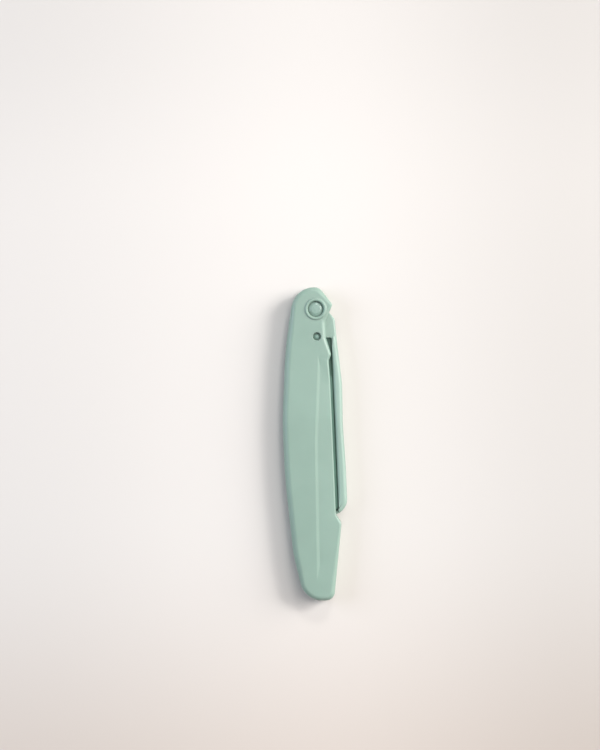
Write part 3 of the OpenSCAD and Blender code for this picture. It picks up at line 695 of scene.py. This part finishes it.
def noise(t, scale, detail, mapping=None):
    """A noise texture on the object's own coordinates, turned and stretched by a mapping."""
    n = t.nodes.new("ShaderNodeTexNoise")
    n.inputs["Scale"].default_value = scale
    n.inputs["Detail"].default_value = detail
    place = t.nodes.new("ShaderNodeTexCoord").outputs["Object"]
    if mapping:
        mp = t.nodes.new("ShaderNodeMapping")
        mp.inputs["Rotation"].default_value, mp.inputs["Scale"].default_value = mapping
        t.links.new(place, mp.inputs["Vector"])
        place = mp.outputs["Vector"]
    t.links.new(place, n.inputs["Vector"])
    return n.outputs["Fac"]


def ramp(t, source, stops, kind="LINEAR"):
    """The colours of the stops, along the source."""
    r = t.nodes.new("ShaderNodeValToRGB")
    r.color_ramp.interpolation = kind
    while len(r.color_ramp.elements) < len(stops):
        r.color_ramp.elements.new(0.5)
    for e, (pos, value) in zip(r.color_ramp.elements, stops):
        e.position = pos
        e.color = (*value, 1.0)
    t.links.new(source, r.inputs["Fac"])
    return r.outputs["Color"]


def grey(v):
    return (v, v, v)


def tint(colour, share, plus):
    """A share of the colour with something added, at most white."""
    return tuple(min(1.0, c * share + plus) for c in colour)


def tinted(t, source, colour, tints):
    """The colour, tinted along the source."""
    return ramp(t, source, [(at, tint(colour, share, plus)) for at, share, plus in tints])


def rough_and_bumpy(t, bsdf, gloss, rough, height, strength, distance):
    """Uneven gloss about a roughness, and a bump from a height."""
    uneven = ramp(t, gloss, [(at, grey(rough + swing)) for at, swing in GLOSS_SWING])
    t.links.new(uneven, bsdf.inputs["Roughness"])
    b = t.nodes.new("ShaderNodeBump")
    b.inputs["Strength"].default_value = strength
    b.inputs["Distance"].default_value = distance
    t.links.new(height, b.inputs["Height"])
    t.links.new(b.outputs["Normal"], bsdf.inputs["Normal"])


def plastic(name, colour, rough, glow):
    """Moulded plastic: faint flow clouds in the colour, a fine skin and paler worn edges."""
    m, t, bsdf = node_material(name)
    base = tinted(t, noise(t, *CLOUDS), colour, CLOUD_TINTS)
    edges = t.nodes.new("ShaderNodeNewGeometry").outputs["Pointiness"]
    mix = t.nodes.new("ShaderNodeMix")
    mix.data_type = "RGBA"
    mix.inputs["B"].default_value = (*tint(colour, *WORN_TINT), 1.0)
    worn = ramp(t, edges, [(at, grey(v)) for at, v in WORN_STOPS])
    t.links.new(worn, mix.inputs["Factor"])
    t.links.new(base, mix.inputs["A"])
    t.links.new(mix.outputs["Result"], bsdf.inputs["Base Color"])
    rough_and_bumpy(t, bsdf, noise(t, *GLOSS), rough, noise(t, *SKIN), *SKIN_BUMP)
    bsdf.inputs["IOR"].default_value = PLASTIC_IOR
    bsdf.inputs["Subsurface Weight"].default_value = glow
    bsdf.inputs["Subsurface Radius"].default_value = GLOW_RADII
    bsdf.inputs["Subsurface Scale"].default_value = GLOW_REACH
    return m


def steel(name, colour, rough, turn):
    """Ground steel: fine parallel scratches along one direction, and faint smears in the gloss."""
    m, t, bsdf = node_material(name)
    bsdf.inputs["Metallic"].default_value = 1.0
    lines = noise(t, *LINES, ((0.0, 0.0, turn), LINE_STRETCH))
    t.links.new(tinted(t, lines, colour, LINE_TINTS), bsdf.inputs["Base Color"])
    rough_and_bumpy(t, bsdf, noise(t, *SMEARS), rough, lines, *LINE_BUMP)
    return m


def finish(o, material, body, replaced=None):
    """Gives a piece its material and slot, puts it under its body, and hides the CAD node that it
    stands in for.
    """
    o.data.materials.clear()
    o.data.materials.append(material)
    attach(o, body)
    if replaced:
        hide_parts(replaced)


# Linear colours
MINT = (0.243, 0.348, 0.293)
MINT_HEAD = (0.262, 0.372, 0.318)
# The web's and keeper's mint is brighter and more saturated than the handle's: painted light,
# standing for light glowing through the plastic in the shaded slit
MINT_SLIT_PAINTED_LIGHT = (0.255, 0.485, 0.39)
MINT_RIVET = (0.231, 0.335, 0.288)
# The stop pin's mint is darker than the handle's: painted shade of the sunken mouth that the pin
# sits in
MINT_STOP_PAINTED_SHADE = (0.19, 0.302, 0.255)
GUARD_PALE = (0.60, 0.75, 0.69)
BLADE_GREY = (0.70, 0.72, 0.73)
CAP_GREY = (0.62, 0.63, 0.64)

mint = plastic("mint_plastic", MINT, rough=0.40, glow=0.2)
mint_head = plastic("head_plastic", MINT_HEAD, rough=0.38, glow=0.18)
# Painted light: the web and keeper get a brighter, more saturated mint for the glow through the
# plastic in the shaded slit
mint_slit_painted_light = plastic("slit_painted_light_plastic", MINT_SLIT_PAINTED_LIGHT, rough=0.44, glow=0.32)
mint_rivet = plastic("rivet_plastic", MINT_RIVET, rough=0.30, glow=0.10)
# Painted shade: the stop pin is darkened for the shade in its sunken mouth
mint_stop_painted_shade = plastic("stop_painted_shade_plastic", MINT_STOP_PAINTED_SHADE, rough=0.34, glow=0.10)
guard_pale = plastic("guard_plastic", GUARD_PALE, rough=0.30, glow=0.30)
blade_turn = math.atan2(EDGE_LOW.y - EDGE_TOP.y, EDGE_LOW.x - EDGE_TOP.x)
blade_steel = steel("blade_steel", BLADE_GREY, rough=0.26, turn=math.pi / 2 - blade_turn)
rivet_steel = steel("rivet_steel", CAP_GREY, rough=0.30, turn=0.0)

# Handle
finish(shell("front_shell_body", front=True), mint, "handle", "front_shell")
finish(shell("back_shell_body", front=False), mint, "handle", "back_shell")
finish(pivot_collar(), mint, "handle")
finish(stop_mouth(), mint, "handle")
finish(back_recess(), mint, "handle")
finish(rivet_barrel(), mint_rivet, "handle", "pivot_barrel")
finish(rivet_front_head(), mint_rivet, "handle", "pivot_pin")
finish(stop_pin_dome(), mint_stop_painted_shade, "handle", "stop_pin")

# Head
finish(head_piece("head_body", head_rib, head_back), mint_head,
       "head", "head_frame")
finish(head_piece("head_web_sheet", head_web), mint_slit_painted_light, "head")
finish(refined("blade_keeper", "keeper_plate", KEEPER_BEVEL), mint_slit_painted_light,
       "head", "blade_keeper")
finish(refined("guard_comb", "guard_teeth", GUARD_BEVEL), guard_pale,
       "head", "guard_comb")
finish(refined("keeper_rivets", "rivet_caps"), rivet_steel,
       "head", "keeper_rivets")
nodes["blade"].data.materials.clear()
nodes["blade"].data.materials.append(blade_steel)


FLOOR_SIZE = 1.6
FLOOR_ROUGH = 0.9
FLOOR_TONES = [(0.35, (0.657, 0.624, 0.60)), (0.65, (0.679, 0.644, 0.62))]
# Painted shade across the floor, darker towards its sides and darker and warmer at its foot: axis,
# reach in metres, and the shares of the tone along it
FLOOR_PAINTED_SHADE = [
    ("X", (-0.108, 0.1), [(0.0, grey(0.92)), (0.5, grey(1.0)), (1.0, grey(0.82))]),
    ("Y", (-0.14, 0.16), [(0.0, (0.84, 0.775, 0.73)), (0.4, grey(1.0)), (0.73, grey(1.0)),
                          (1.0, grey(0.915))]),
]


def floor_paper():
    """A pale sheet with painted shade: a little darker towards the picture's sides, and darker and
    warmer at its foot.
    """
    m, t, bsdf = node_material("floor_paper")
    split = t.nodes.new("ShaderNodeSeparateXYZ")
    t.links.new(t.nodes.new("ShaderNodeTexCoord").outputs["Object"], split.inputs["Vector"])
    tone = ramp(t, noise(t, *FLOOR_CLOUDS), FLOOR_TONES)
    for way, (low, high), stops in FLOOR_PAINTED_SHADE:
        run = t.nodes.new("ShaderNodeMapRange")
        run.inputs["From Min"].default_value = low
        run.inputs["From Max"].default_value = high
        t.links.new(split.outputs[way], run.inputs["Value"])
        mix = t.nodes.new("ShaderNodeMix")
        mix.data_type = "RGBA"
        mix.blend_type = "MULTIPLY"
        mix.inputs["Factor"].default_value = 1.0
        t.links.new(tone, mix.inputs["A"])
        t.links.new(ramp(t, run.outputs["Result"], stops, "EASE"), mix.inputs["B"])
        tone = mix.outputs["Result"]
    t.links.new(tone, bsdf.inputs["Base Color"])
    bsdf.inputs["Roughness"].default_value = FLOOR_ROUGH
    return m


bm = bmesh.new()
bmesh.ops.create_grid(bm, x_segments=1, y_segments=1, size=FLOOR_SIZE)
floor = new_object("floor", bm)
floor.data.materials.append(floor_paper())


def area(name, place, target, size, power, colour):
    """An area light, (width, height) in metres, that looks at a target."""
    data = bpy.data.lights.new(name, "AREA")
    data.energy = power
    data.color = colour
    data.shape = "RECTANGLE"
    data.size, data.size_y = size
    o = linked(name, data)
    o.location = place
    o.rotation_euler = (Vector(target) - Vector(place)).to_track_quat("-Z", "Y").to_euler()


WARM = (1.0, 0.985, 0.96)
SKY = (0.72, 0.83, 1.0)
WORLD_GLOW = 0.30

# The lights: name, place, target, (width, height), power, colour
LIGHTS = [
    ("key_right", (1.24, 0.24, 1.04), (0.0, 0.02, 0.0), (0.84, 1.2), 7.4, WARM),
    ("edge_strip", (0.84, 0.25, 0.60), (0.0, 0.05, 0.0), (0.40, 0.20), 4.2, WARM),
    ("low_right", (1.25, 0.38, 0.46), (0.0, 0.03, 0.0), (1.0, 0.45), 9.6, WARM),
    ("sheen", (0.27, 0.24, 1.06), (0.0, 0.03, 0.0), (0.3, 0.4), 2.6, WARM),
    ("side_left", (-0.66, 0.16, 0.38), (0.0, 0.03, 0.0), (0.5, 0.5), 3.2, SKY),
    ("top_strip", (0.25, 0.9, 0.75), (0.0, 0.04, 0.0), (0.3, 0.15), 3.0, WARM),
    ("glint", (0.80, 0.42, 0.75), (0.0, 0.04, 0.0), (0.2, 0.2), 3.6, WARM),
]
for light in LIGHTS:
    area(*light)

world = bpy.data.worlds.new("studio")
bpy.context.scene.world = world
world.use_nodes = True
background = world.node_tree.nodes["Background"]
background.inputs["Color"].default_value = (*WARM, 1.0)
background.inputs["Strength"].default_value = WORLD_GLOW
bpy.context.scene.view_settings.view_transform = "Standard"

# The camera looks straight down, turned by the razor's lean in the photo
CAMERA_PLACE = (-0.00384, 0.024, 0.6166)
CAMERA_TURN = -2.46
LENS = 85.0
SENSOR_W = 36.0

cam = bpy.data.cameras.new("camera")
cam.lens = LENS
cam.sensor_width = SENSOR_W
camera = linked("camera", cam)
camera.location = CAMERA_PLACE
camera.rotation_euler = (0.0, 0.0, math.radians(CAMERA_TURN))
bpy.context.scene.camera = camera
